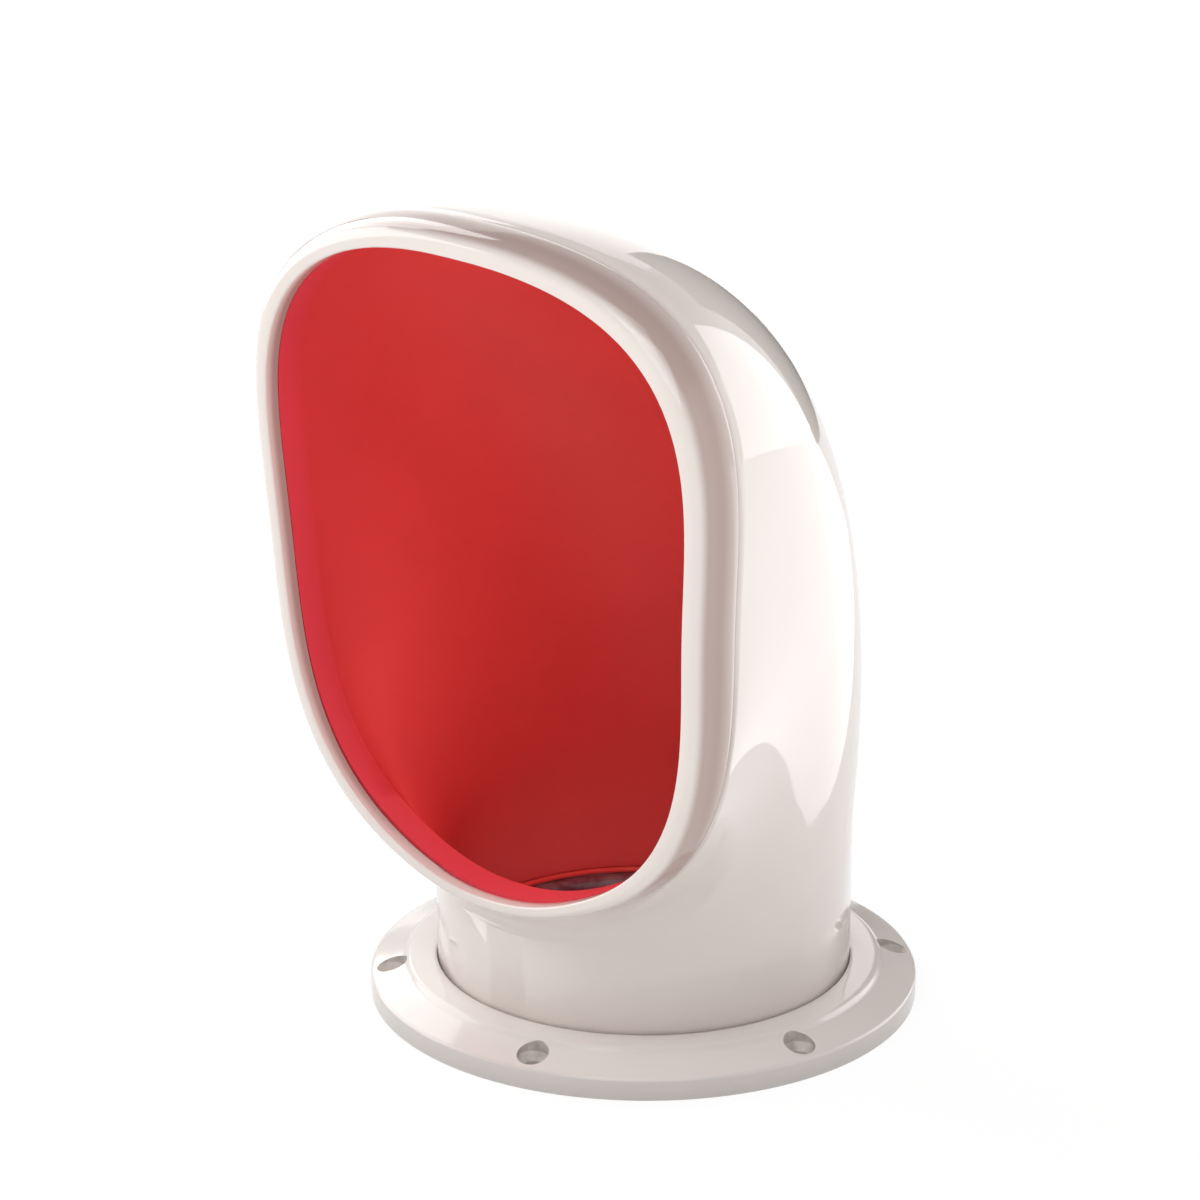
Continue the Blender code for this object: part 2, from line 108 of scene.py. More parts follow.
def srgb(text):
    """An sRGB hex value as a linear colour."""
    values = []
    for start in (0, 2, 4):
        value = int(text[start:start + 2], 16) / 255
        values.append(value / 12.92 if value <= 0.04045 else ((value + 0.055) / 1.055) ** 2.4)
    return tuple(values)


def length(name, description, default):
    return FloatProperty(name=name, description=description, default=default, min=0.0, max=1.0, unit="LENGTH",
                         precision=5)


def share(name, description, default):
    return FloatProperty(name=name, description=description, default=default, min=0.0, max=1.0,
                         subtype="FACTOR")


def angle(name, description, degrees):
    return FloatProperty(name=name, description=description, default=math.radians(degrees), subtype="ANGLE")


def level(name, description, default):
    return FloatProperty(name=name, description=description, default=default, min=0.0)


def squareness(name, default):
    return FloatProperty(name=name, description="2 is round, higher is squarer", default=default, min=2.0,
                         max=6.0)


def number(name, description, default):
    return IntProperty(name=name, description=description, default=default, min=1, max=24)


def colour(name, description, default):
    return FloatVectorProperty(name=name, description=description, default=srgb(default), min=0.0, max=1.0,
                               size=3, subtype="COLOR")


class CowlSizes(bpy.types.PropertyGroup):
    """Sizes of the cowl, from its neck to the lip of its mouth."""
    neck_radius: length("Neck radius", "Outside radius of the neck", 0.0567)
    wall: length("Wall", "Thickness of the white wall", 0.0027)
    lining: length("Lining", "Thickness of the red lining", 0.0010)
    neck_front: length("Neck front", "Height at which the neck ends under the mouth", 0.0331)
    neck_back: length("Neck back", "Height at which the neck ends at the back", 0.0565)
    mouth_half_width: length("Mouth half width", "Half the width inside the lip", 0.0705)
    mouth_half_height: length("Mouth half height", "Half the height inside the lip", 0.0856)
    mouth_overhang: length("Overhang", "How far the mouth stands ahead of the neck", 0.0105)
    mouth_sill: length("Sill", "Height of the mouth's lower edge above the deck", 0.0435)
    mouth_lean: angle("Lean", "How far the mouth leans forward at its top", 3.75)
    mouth_taper: share("Taper", "How much wider the mouth is at its top", 0.100)
    square_top: squareness("Squareness of the top", 2.61)
    square_bottom: squareness("Squareness of the bottom", 2.61)
    lip_width: length("Lip width", "Width of the bead round the mouth", 0.0071)
    lip_depth: length("Lip depth", "Depth of the bead round the mouth", 0.0125)
    lip_face: length("Lip face", "Width of the bead's front face", 0.0050)
    lip_crease: length("Lip crease", "Depth of the crease behind the bead", 0.0005)
    lip_thinning: share("Lip thinning", "How much narrower the bead is under the mouth", 0.44)
    lip_shallowing: share("Lip shallowing", "How much shallower the bead is under the mouth", 0.74)
    lining_setback: length("Lining setback", "From the lip's face to the edge of the red", 0.0045)
    crown_rise: angle("Crown rise", "Slope of the crown behind the lip", 9.5)
    crown_reach: length("Crown reach", "How far back the crown keeps its slope", 0.0632)
    back_reach: length("Back reach", "How far up the back stays upright", 0.0850)


class RingSizes(bpy.types.PropertyGroup):
    """Sizes of the deck ring and of what sits in it."""
    edge_height: length("Edge height", "Height of the ring's outer edge", 0.0061)
    edge_fillet: length("Edge fillet", "Rounding of the ring's outer edge", 0.0010)
    slope: share("Slope", "Rise of the flange towards the shoulder", 0.327)
    shoulder_inset: length("Shoulder inset", "From the edge to the foot of the shoulder", 0.0090)
    shoulder_width: length("Shoulder width", "Width of the shoulder's step", 0.0022)
    shoulder_rise: length("Shoulder rise", "Height of the shoulder's step", 0.0012)
    holes: number("Screw holes", "Number of countersunk holes", 6)
    hole_inset: length("Hole inset", "From the edge to the middle of a hole", 0.0058)
    hole_radius: length("Hole radius", "Radius of a screw hole", 0.00225)
    sink_radius: length("Countersink radius", "Radius of a countersink at its top", 0.0042)
    hole_phase: angle("Hole phase", "Angle of the first hole from +X", -13.4)
    neck_slit: length("Neck slit", "Gap between the ring's inner edge and the neck", 0.0001)
    collar_wall: length("Collar wall", "Wall of the collar inside the neck", 0.0034)
    gasket_wall: length("Gasket wall", "Plastic on each side of the gasket's groove", 0.0015)
    sleeve_wall: length("Sleeve wall", "Wall of the sleeve in the neck", 0.0015)
    keys: number("Keys", "Number of keys that turn the cowl with its ring", 3)
    key_arc: angle("Key arc", "Width of a key", 12)
    key_height: length("Key height", "Height of a key above its ring", 0.0030)
    rim_width: length("Screen rim width", "Width of the screen frame's rim", 0.0032)
    clip_width: length("Clip width", "Width of the ring that holds the gauze down", 0.0027)
    hub_radius: length("Hub radius", "Radius of the screen's hub", 0.0060)
    spokes: number("Spokes", "Number of spokes under the gauze", 6)
    spoke_width: length("Spoke width", "Width of a spoke", 0.0016)
    gauze_pitch: length("Gauze pitch", "Spacing of the gauze's wires", 0.0020)
    gauze_wire: length("Gauze wire", "Thickness of the gauze's wires", 0.00018)


class Finishes(bpy.types.PropertyGroup):
    """Colours of the materials."""
    cowl_white: colour("Cowl white", "Soft glossy white of the cowl", "E8DED8")
    # Painted shade: the warm grey painted on the bead's outer side, where it stands for the bead's shade
    bead_painted_shade: colour("Bead shade", "Film on the outer side of the bead", "AB9189")
    lining_red: colour("Lining red", "Red of the lining", "EC4D47")
    # Painted highlight: the rosier red painted inside the lining near the lip
    lining_highlight: colour("Lining rose", "Second coat of the lining near the lip", "E84A5A")
    ring_white: colour("Ring white", "Hard glossy white of the deck ring", "E4DCD7")
    nylon: colour("Nylon", "Natural nylon of the running parts", "DAD5C4")
    rubber: colour("Rubber", "Black rubber of the seals", "1B1B1C")
    steel: colour("Steel", "Stainless steel of the gauze", "B9BABC")
    # Painted shade: the dark colour painted on the parts deep inside the neck
    throat_shade: colour("Grease", "Grease on the collar and the sleeve in the neck", "6A2636")
    # Painted shade: the darker grey painted in the countersinks
    sink_shade: colour("Hole dust", "Dust in the countersinks", "D6CEC8")
    floor: colour("Floor", "Colour of the floor", "F2F2F2")


class StudioLevels(bpy.types.PropertyGroup):
    """Radiance of each light, where 1 is white."""
    right_box: level("Right box", "Soft box behind on the right", 2.45)
    left_box: level("Left box", "Soft box on the left", 2.7)
    side_box: level("Side box", "Tall soft box behind on the left", 3.0)
    back_box: level("Back box", "Soft box behind", 0.8)
    fill_box: level("Fill box", "Soft box beside the camera", 2.2)
    top_box: level("Top box", "Soft box above", 1.7)
    ceiling: level("Ceiling", "Brightness of the ceiling in reflections", 0.15)
    room: level("Room", "Even light of the room", 0.08)
    table: level("Light table", "Glow that only reflections see", 2.3)
    floor: level("Floor", "Glow of the white floor", 1.05)


# Building blocks

def linked(name, data):
    """A new object in the scene."""
    made = bpy.data.objects.new(name, data)
    bpy.context.scene.collection.objects.link(made)
    return made


def meshed(bm, name):
    """A new object from a bmesh, which is freed."""
    mesh = bpy.data.meshes.new(name)
    bm.to_mesh(mesh)
    bm.free()
    return linked(name, mesh)


def smooth(piece, sharp=PLAIN_SHADING):
    """Shades a piece smooth, apart from edges sharper than the angle in degrees."""
    piece.data.shade_smooth()
    piece.data.set_sharp_from_angle(angle=math.radians(sharp))


def new_piece(bm, name, body, stands_for, sharp=PLAIN_SHADING):
    """Turns a bmesh into a piece that rides on a body and stands for CAD nodes."""
    piece = meshed(bm, name)
    smooth(piece, sharp)
    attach(piece, body)
    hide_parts(*stands_for)
    return piece


def loft(sections):
    """Extrudes a ring of edges from section to section, and joins the last ring to the first."""
    def put(verts, points):
        for vert, point in zip(verts, points):
            vert.co = point

    bm = bmesh.new()
    first = bmesh.ops.create_circle(bm, segments=len(sections[0]), radius=0.01)["verts"]
    put(first, sections[0])
    ring = first
    for points in sections[1:] + sections[:1]:
        edges = [bm.edges.get(pair) for pair in zip(ring, ring[1:] + ring[:1])]
        grown = set(bmesh.ops.extrude_edge_only(bm, edges=edges)["geom"])
        ring = [next(e.other_vert(v) for e in v.link_edges if e.other_vert(v) in grown) for v in ring]
        put(ring, points)
    bmesh.ops.weld_verts(bm, targetmap=dict(zip(ring, first)))
    bmesh.ops.recalc_face_normals(bm, faces=bm.faces)
    return bm


def turned(profile, steps=AROUND_RING, closed=True):
    """Spins an outline of (radius, height) points about Z."""
    bm = bmesh.new()
    verts = [bm.verts.new((radius, 0.0, height)) for radius, height in profile]
    ends = verts[1:] + (verts[:1] if closed else [])
    edges = [bm.edges.new(pair) for pair in zip(verts, ends)]
    bmesh.ops.spin(bm, geom=verts + edges, cent=(0, 0, 0), axis=(0, 0, 1), angle=2 * math.pi, steps=steps,
                   use_merge=True)
    bmesh.ops.remove_doubles(bm, verts=bm.verts, dist=1e-7)
    bmesh.ops.recalc_face_normals(bm, faces=bm.faces)
    return bm


def rounded(profile, radius, steps=4):
    """Rounds each corner of a closed outline by the radius, or less where its sides are short."""
    result = []
    count = len(profile)
    for i in range(count):
        before, corner, after = (Vector(profile[(i + k) % count]) for k in (-1, 0, 1))
        to_before, to_after = before - corner, after - corner
        turn = math.pi - to_before.angle(to_after)
        if turn < math.radians(12):
            result.append(tuple(corner))
            continue
        cut = min(radius * math.tan(turn / 2), 0.45 * to_before.length, 0.45 * to_after.length)
        start, end = corner + to_before.normalized() * cut, corner + to_after.normalized() * cut
        for step in range(steps + 1):
            t = step / steps
            result.append(tuple((1 - t) ** 2 * start + 2 * t * (1 - t) * corner + t * t * end))
    return result


def through(points, steps):
    """A smooth line through the points, with the given steps between each two."""
    line = []
    for i in range(len(points) - 1):
        a, b = Vector(points[max(i - 1, 0)]), Vector(points[i])
        c, d = Vector(points[i + 1]), Vector(points[min(i + 2, len(points) - 1)])
        for step in range(steps):
            t = step / steps
            line.append(tuple(0.5 * (2 * b + (c - a) * t + (2 * a - 5 * b + 4 * c - d) * t * t
                                     + (3 * b - a - 3 * c + d) * t ** 3)))
    line.append(tuple(points[-1]))
    return line


def combine(piece, tools, operation):
    """Adds the tools' shapes to a piece, or cuts them out of it, for good."""
    for tool in tools:
        modifier = piece.modifiers.new(tool.name, "BOOLEAN")
        modifier.operation = operation
        modifier.object = tool
        modifier.solver = "EXACT"
    bake(piece)
    for tool in tools:
        bpy.data.objects.remove(tool, do_unlink=True)


def wedge(name, inner, outer, bottom, top, middle, width, soften=0.0, steps=8):
    """A block that follows the ring over an angle."""
    angles = [middle + width * (i / steps - 0.5) for i in range(steps + 1)]
    line = [(outer * math.cos(a), outer * math.sin(a)) for a in angles]
    line += [(inner * math.cos(a), inner * math.sin(a)) for a in reversed(angles)]
    bm = bmesh.new()
    base = bm.faces.new([bm.verts.new((x, y, bottom)) for x, y in line])
    grown = bmesh.ops.extrude_face_region(bm, geom=[base])["geom"]
    lid = [v for v in grown if isinstance(v, bmesh.types.BMVert)]
    bmesh.ops.translate(bm, vec=(0, 0, top - bottom), verts=lid)
    bmesh.ops.recalc_face_normals(bm, faces=bm.faces)
    if soften:
        rim = [e for e in bm.edges if all(v in lid for v in e.verts)]
        bmesh.ops.bevel(bm, geom=rim, offset=soften, segments=3, profile=0.5, affect="EDGES", material=-1)
    return meshed(bm, name)


def bake(piece):
    """Replaces a piece's mesh by its mesh with the modifiers applied."""
    bpy.context.view_layer.update()
    evaluated = piece.evaluated_get(bpy.context.evaluated_depsgraph_get())
    mesh = bpy.data.meshes.new_from_object(evaluated)
    piece.modifiers.clear()
    piece.data = mesh


# Materials

def add(tree, kind, inputs=None, **settings):
    """Adds a node, sets its properties, and sets or links its inputs."""
    node = tree.nodes.new("ShaderNode" + kind)
    for key, value in settings.items():
        setattr(node, key, value)
    for key, value in (inputs or {}).items():
        if isinstance(value, bpy.types.NodeSocket):
            tree.links.new(value, node.inputs[key])
        else:
            node.inputs[key].default_value = value
    return node


def finish_material(name, inputs):
    """A new material with its Principled shader set, and the shader's tree and node."""
    made = bpy.data.materials.new(name)
    made.use_nodes = True
    tree = made.node_tree
    shader = tree.nodes["Principled BSDF"]
    for key, value in inputs.items():
        shader.inputs[key].default_value = value
    return made, tree, shader


def shade(base, factor):
    """A colour made lighter or darker, opaque."""
    return tuple(min(1.0, channel * factor) for channel in base) + (1.0,)


def mottled(tree, shader, base, spread, scale, roughness, spread_of_roughness):
    """Slow cloudy variation of colour and gloss."""
    place = add(tree, "TexCoord").outputs["Object"]
    cloud = noise(tree, place, scale, 4.0, 0.55)
    tone = add(tree, "ValToRGB", {"Fac": cloud})
    tone.color_ramp.elements[0].position = 0.35
    tone.color_ramp.elements[0].color = shade(base, 1 - spread)
    tone.color_ramp.elements[1].position = 0.65
    tone.color_ramp.elements[1].color = shade(base, 1.0)
    tree.links.new(tone.outputs["Color"], shader.inputs["Base Color"])
    gloss = add(tree, "MapRange", {"Value": cloud, "From Min": 0.3, "From Max": 0.7,
                                   "To Min": roughness, "To Max": roughness + spread_of_roughness})
    tree.links.new(gloss.outputs["Result"], shader.inputs["Roughness"])
    return place


def tinted(tree, shader, colour, amount):
    """Lays a colour over the shader's colour where the amount, a socket, says so."""
    below = shader.inputs["Base Color"].links[0].from_socket
    # Sockets 6 and 7 and output 2 are the mix node's colours
    mixed = add(tree, "Mix", {"Factor": amount, 6: below, 7: (*colour, 1.0)}, data_type="RGBA")
    tree.links.new(mixed.outputs[2], shader.inputs["Base Color"])


def noise(tree, place, scale, detail, roughness):
    made = add(tree, "TexNoise", {"Vector": place, "Scale": scale, "Detail": detail, "Roughness": roughness})
    return made.outputs["Fac"]


def relief(tree, shader, height, distance, strength):
    """Adds a relief to the shader's surface, on top of the one that it has."""
    inputs = {"Height": height, "Distance": distance, "Strength": strength}
    below = shader.inputs["Normal"].links
    if below:
        inputs["Normal"] = below[0].from_socket
    bump = add(tree, "Bump", inputs)
    tree.links.new(bump.outputs["Normal"], shader.inputs["Normal"])


def height_of(tree, place):
    return add(tree, "SeparateXYZ", {"Vector": place}).outputs["Z"]


def band(tree, value, stops):
    """An amount that follows the stops, as (value, amount), smoothly from one to the next."""
    start, end = stops[0][0], stops[-1][0]
    along = add(tree, "MapRange", {"Value": value, "From Min": start, "From Max": end})
    ramp = add(tree, "ValToRGB", {"Fac": along.outputs["Result"]})
    ramp.color_ramp.interpolation = "EASE"
    elements = ramp.color_ramp.elements
    for position, _ in stops[1:-1]:
        elements.new((position - start) / (end - start))
    for element, (_, amount) in zip(elements, stops):
        element.color = (amount, amount, amount, 1.0)
    return ramp.outputs["Color"]


def behind_mouth(tree, place, sizes):
    """Depth of a point behind the mouth's face, in metres."""
    lean, forward = sizes.mouth_lean, sizes.neck_radius + sizes.mouth_overhang
    middle = sizes.mouth_sill + sizes.mouth_half_height
    inward = (0.0, math.cos(lean), math.sin(lean))
    dot = add(tree, "VectorMath", {0: place, 1: inward}, operation="DOT_PRODUCT")
    face = -forward * math.cos(lean) + middle * math.sin(lean)
    return add(tree, "Math", {0: dot.outputs["Value"], 1: face}, operation="SUBTRACT").outputs[0]


def soft_white(finishes, sizes):
    """Soft PVC, slush moulded in a polished mould: mirror-like gloss over a slightly wavy skin."""
    made, tree, shader = finish_material("soft_white_pvc", {"IOR": 1.53})
    place = mottled(tree, shader, finishes.cowl_white, 0.025, 22.0, 0.035, 0.03)
    # Painted shade: the bead's outer side is painted a warm grey, densest just behind its crest
    deep = sizes.lip_depth
    stops = ((0.0008, 0.0), (0.26 * deep, 0.8), (0.55 * deep, 0.85), (0.93 * deep, 0.42), (1.1 * deep, 0.0))
    painted_shade = band(tree, behind_mouth(tree, place, sizes), stops)
    # The painted shade fades out towards the sill, so the lip under the mouth keeps its white
    stops = ((0.9 * sizes.mouth_sill, 0.0), (1.5 * sizes.mouth_sill, 1.0))
    painted_shade = add(tree, "Math", {0: painted_shade, 1: band(tree, height_of(tree, place), stops)}, operation="MULTIPLY")
    tinted(tree, shader, finishes.bead_painted_shade, painted_shade.outputs[0])
    # The skin's slow waves are 15 to 30 mm long and a few hundredths of a millimetre deep
    relief(tree, shader, noise(tree, place, 45.0, 1.0, 0.4), 0.00010, 0.20)
    # Moulded orange peel about 1 mm across
    relief(tree, shader, noise(tree, place, 900.0, 2.0, 0.5), 0.000010, 0.06)
    return made


def lining_paint(finishes, sizes):
    """Red vinyl paint sprayed inside the cowl: satin, with an even fine spray grain."""
    made, tree, shader = finish_material("sprayed_red_vinyl", {"IOR": 1.48, "Specular IOR Level": 0.35})
    place = mottled(tree, shader, finishes.lining_red, 0.07, 30.0, 0.42, 0.08)
    # Painted highlight: a rosier red, strongest within 15 mm of the lip
    stops = ((0.003, 0.9), (0.009, 0.75), (0.016, 0.25), (0.06, 0.1))
    tinted(tree, shader, finishes.lining_highlight, band(tree, behind_mouth(tree, place, sizes), stops))
    # Spray grain of about 0.8 mm
    relief(tree, shader, noise(tree, place, 1200.0, 2.0, 0.6), 0.00003, 0.25)
    return made


def paint_throat_shade(tree, shader, place, finishes, radius):
    """Painted shade: a dark colour on what lies inside the neck, within a radius, in a patchy layer from
    lighter to darker.
    """
    flat = add(tree, "VectorMath", {0: place, 1: (1.0, 1.0, 0.0)}, operation="MULTIPLY")
    out = add(tree, "VectorMath", {0: flat.outputs["Vector"]}, operation="LENGTH")
    near = band(tree, out.outputs["Value"], ((radius - 0.0005, 1.0), (radius, 0.0)))
    patches = noise(tree, place, 90.0, 3.0, 0.6)
    thick = add(tree, "MapRange", {"Value": patches, "From Min": 0.3, "From Max": 0.6, "To Min": 0.75,
                                   "To Max": 0.97})
    amount = add(tree, "Math", {0: near, 1: thick.outputs["Result"]}, operation="MULTIPLY")
    tinted(tree, shader, finishes.throat_shade, amount.outputs[0])


def hard_white(finishes, sizes):
    """Injection moulded ASA: hard, glossy, a little greyer than the cowl."""
    made, tree, shader = finish_material("moulded_white_asa", {"IOR": 1.52})
    place = mottled(tree, shader, finishes.ring_white, 0.025, 35.0, 0.09, 0.05)
    # Painted shade on the collar, its bore and the screen, which lie deep inside the neck
    paint_throat_shade(tree, shader, place, finishes, sizes.neck_radius - sizes.wall)
    # Faint flow ripple of about 4 mm from the mould
    relief(tree, shader, noise(tree, place, 240.0, 2.0, 0.5), 0.00002, 0.12)
    return made


def shaded_sink(finishes):
    """Countersinks cut into the ring: satin from the cutter, with a patchy darker grey painted in them as
    shade.
    """
    made, tree, shader = finish_material("countersink_painted_shade", {"IOR": 1.52})
    place = mottled(tree, shader, finishes.sink_shade, 0.30, 260.0, 0.38, 0.20)
    # Cutter marks about 0.5 mm apart
    marks = add(tree, "TexWave", {"Vector": place, "Scale": 320.0, "Distortion": 0.6}, bands_direction="Z")
    relief(tree, shader, marks.outputs["Fac"], 0.00002, 0.3)
    return made


def nylon(finishes, sizes):
    """Machined natural nylon: waxy, slightly translucent, with fine turning lines."""
    made, tree, shader = finish_material("natural_nylon_pa6", {"IOR": 1.53, "Subsurface Weight": 0.08,
                                                               "Subsurface Scale": 0.002})
    place = mottled(tree, shader, finishes.nylon, 0.06, 60.0, 0.34, 0.10)
    # Painted shade on what lies inside the neck's radius
    paint_throat_shade(tree, shader, place, finishes, sizes.neck_radius)
    # The lining's red runs down over the sleeve's upper edge, which stands above the ring's collar
    overrun = band(tree, height_of(tree, place), ((RING_HIGH.z - 0.0004, 0.0), (RING_HIGH.z + 0.0001, 1.0)))
    tinted(tree, shader, finishes.lining_red, overrun)
    # Turning lines 0.3 mm apart run round the part, so they only change with height
    lines = add(tree, "TexWave", {"Vector": place, "Scale": 520.0, "Distortion": 0.4}, bands_direction="Z")
    relief(tree, shader, lines.outputs["Fac"], 0.00001, 0.2)
    return made


def rubber(finishes):
    """Moulded EPDM rubber: matt black with a fine dusty grain."""
    made, tree, shader = finish_material("black_epdm_rubber", {"IOR": 1.5, "Specular IOR Level": 0.4})
    place = mottled(tree, shader, finishes.rubber, 0.25, 140.0, 0.62, 0.15)
    # Grain of about 0.5 mm
    relief(tree, shader, noise(tree, place, 1900.0, 3.0, 0.6), 0.00005, 0.35)
    return made


def steel(finishes):
    """Drawn stainless wire: bright, with drawing marks too fine to see one by one."""
    made, tree, shader = finish_material("drawn_stainless_wire", {"Metallic": 1.0})
    mottled(tree, shader, finishes.steel, 0.18, 420.0, 0.24, 0.16)
    return made


# Cowl

def superellipse(angle, half_width, half_height, top, bottom, taper, waves):
    """A rounded square in polar form. It is wider at the top by the taper."""
    cosine, sine = math.cos(angle), math.sin(angle)
    power = bottom + (top - bottom) * (1 + sine) / 2
    radius = (abs(cosine / half_width) ** power + abs(sine / half_height) ** power) ** (-1 / power)
    turn = angle - math.pi / 2
    radius *= 1 + sum(even * math.cos(n * turn) + odd * math.sin(n * turn) for n, even, odd in waves)
    across, up = radius * cosine, radius * sine
    return across * (1 + taper * up / half_height), up


class CowlShape:
    """Sections of the cowl, worked out from its sizes."""
    width_delay = 1.483
    width_fullness = 1.358
    squareness_fade = 0.993
    lip_sharpness = 2.37
    lip_blend = 1.7
    flare = 0.34
    # The soft mouth is a little out of shape. Waves per turn from its top round, and their
    # cosine and sine as shares of the radius
    waves = ((1, 0.0, 0.0031), (2, 0.0, -0.0010), (3, 0.0, 0.0067), (4, -0.0150, 0.0023),
             (5, -0.0080, 0.0046), (6, 0.0080, 0.0), (7, -0.0020, 0.0), (8, 0.0040, 0.0))
    # Lip section after its inner corner: shares of the face, then of the bead's width and depth
    face_steps = ((0.5, 0.0), (0.8, 0.05), (1.0, 0.16))
    back_steps = ((0.82, 0.32), (0.94, 0.62), (1.01, 0.90))

    def __init__(self, sizes):
        self.s = sizes
        self.angles = [2 * math.pi * i / AROUND_COWL for i in range(AROUND_COWL)]
        lean = sizes.mouth_lean
        self.up = Vector((-math.sin(lean), math.cos(lean)))
        self.inward = Vector((math.cos(lean), math.sin(lean)))
        self.centre = Vector((-sizes.neck_radius - sizes.mouth_overhang,
                              sizes.mouth_sill + sizes.mouth_half_height))
        behind = self.centre + sizes.lip_depth * self.inward
        half = sizes.mouth_half_height + sizes.lip_width
        top = behind + half * self.up
        back = Vector((sizes.neck_radius, sizes.neck_back))
        rise = Vector((math.cos(sizes.crown_rise), math.sin(sizes.crown_rise)))
        self.crown = (top, top + sizes.crown_reach * rise, back + Vector((0, sizes.back_reach)), back)
        self.under = (behind - half * self.up, Vector((-sizes.neck_radius, sizes.neck_front)))

    def mouth(self, angle, out, depth):
        """A point of the lip, out from its inner edge and back from its face."""
        s = self.s
        half = s.mouth_half_width + out, s.mouth_half_height + out
        across, height = superellipse(angle, *half, s.square_top, s.square_bottom, s.mouth_taper, self.waves)
        place = self.centre + height * self.up + depth * self.inward
        return Vector((across, place.x, place.y))

    def lip(self, angle, out, depth):
        """The lip gets thinner and shallower where it meets the neck at the bottom."""
        s = self.s
        bottom = max(-math.sin(angle), 0.0) ** self.lip_sharpness
        thin = 1 - s.lip_thinning * bottom * max(out, 0.0) / s.lip_width
        shallow = 1 - s.lip_shallowing * bottom * depth / s.lip_depth
        return self.mouth(angle, out * thin, depth * shallow)

    def crown_point(self, t):
        a, b, c, d = self.crown
        return (1 - t) ** 3 * a + 3 * t * (1 - t) ** 2 * b + 3 * t * t * (1 - t) * c + t ** 3 * d

    def section(self, t, inset, follow_lip=False):
        """A section of the cowl, from t = 0 behind the lip to t = 1 at the neck."""
        s = self.s
        high, low = self.crown_point(t), self.under[0].lerp(self.under[1], t)
        up, centre = (high - low).normalized(), (high + low) / 2
        ease = (1 - t ** self.width_delay) ** self.width_fullness
        fade = 1 - t ** self.squareness_fade
        half_width = s.neck_radius + (s.mouth_half_width + s.lip_width - s.neck_radius) * ease - inset
        half_height = (high - low).length / 2 - inset
        top, bottom = 2 + (s.square_top - 2) * fade, 2 + (s.square_bottom - 2) * fade
        taper = s.mouth_taper * (1 - t)
        waves = [(n, even * fade, odd * fade) for n, even, odd in self.waves]
        points = []
        for angle in self.angles:
            across, height = superellipse(angle, half_width, half_height, top, bottom, taper, waves)
            place = centre + height * up
            point = Vector((across, place.x, place.y))
            if follow_lip:
                edge = angle, s.lip_width, s.lip_depth
                point += (self.lip(*edge) - self.mouth(*edge)) * (1 - t) ** self.lip_blend
            points.append(point)
        return points

    def wall_at(self, t, inset):
        """The wall is thick behind the lip and thins to its full inset over the flare."""
        extra = self.s.lip_width - self.s.wall - SEAT_GAP - self.s.lining
        return inset + extra * max(1 - t / self.flare, 0.0) ** 2

    def stations(self):
        """Sections lie closer together behind the lip."""
        return [(i / ALONG_COWL) ** 1.25 for i in range(1, ALONG_COWL + 1)]

    def neck(self, radius, height):
        return [(radius * math.cos(a), radius * math.sin(a), height) for a in self.angles]

    def bead(self):
        """Sections of the lip from the edge of the lining round to the crease."""
        s = self.s
        corner = s.lip_face / 8
        path = [(corner, 0.0)]
        path += [(out * s.lip_face, depth * s.lip_depth) for out, depth in self.face_steps]
        path += [(out * s.lip_width, depth * s.lip_depth) for out, depth in self.back_steps]
        path.append((s.lip_width - s.lip_crease, s.lip_depth))
        steps = [(0.0, s.lining_setback), (0.0, (s.lining_setback + corner) / 2), (0.0, corner)]
        steps += [(corner * (1 - math.cos(a)), corner * (1 - math.sin(a)))
                  for a in (math.radians(22.5 * step) for step in range(1, 4))]
        steps += through(path, SECTION_STEPS)
        return [[self.lip(angle, out, depth) for angle in self.angles] for out, depth in steps]

    def skin(self, inset, edge_out, edge_depth, radius, bottom):
        """Sections of a skin inside the cowl, from the neck up to the lip."""
        rings = [self.neck(radius, bottom)]
        rings += [self.section(t, self.wall_at(t, inset)) for t in reversed(self.stations())]
        rings.append([self.mouth(angle, edge_out, self.s.lip_depth) for angle in self.angles])
        rings.append([self.mouth(angle, edge_out, edge_depth) for angle in self.angles])
        return rings


class COWLVENT_OT_cowl(bpy.types.Operator):
    """Makes the white cowl with the bead round its mouth"""
    bl_idname = "cowl_vent.cowl"
    bl_label = "Cowl"

    def execute(self, context):
        sizes = context.scene.cowl_sizes
        shape = CowlShape(sizes)
        pocket = sizes.neck_radius - sizes.wall
        bottom = SLEEVE_LOW.z
        rings = shape.bead()
        rings += [shape.section(t, 0.0, True) for t in shape.stations()]
        rings.append(shape.neck(sizes.neck_radius, bottom + 0.0004))
        rings.append(shape.neck(sizes.neck_radius - 0.0004, bottom))
        rings.append(shape.neck(pocket, bottom))
        rings += shape.skin(sizes.wall, sizes.lining + SEAT_GAP, sizes.lining_setback, pocket,
                            SLEEVE_HIGH.z + SEAT_GAP)
        piece = new_piece(loft(rings), "cowl_skin", "cowl", ["cowl_shell"], SOFT_SHADING)
        piece.data.materials.append(soft_white(context.scene.cowl_finishes, sizes))
        return {"FINISHED"}


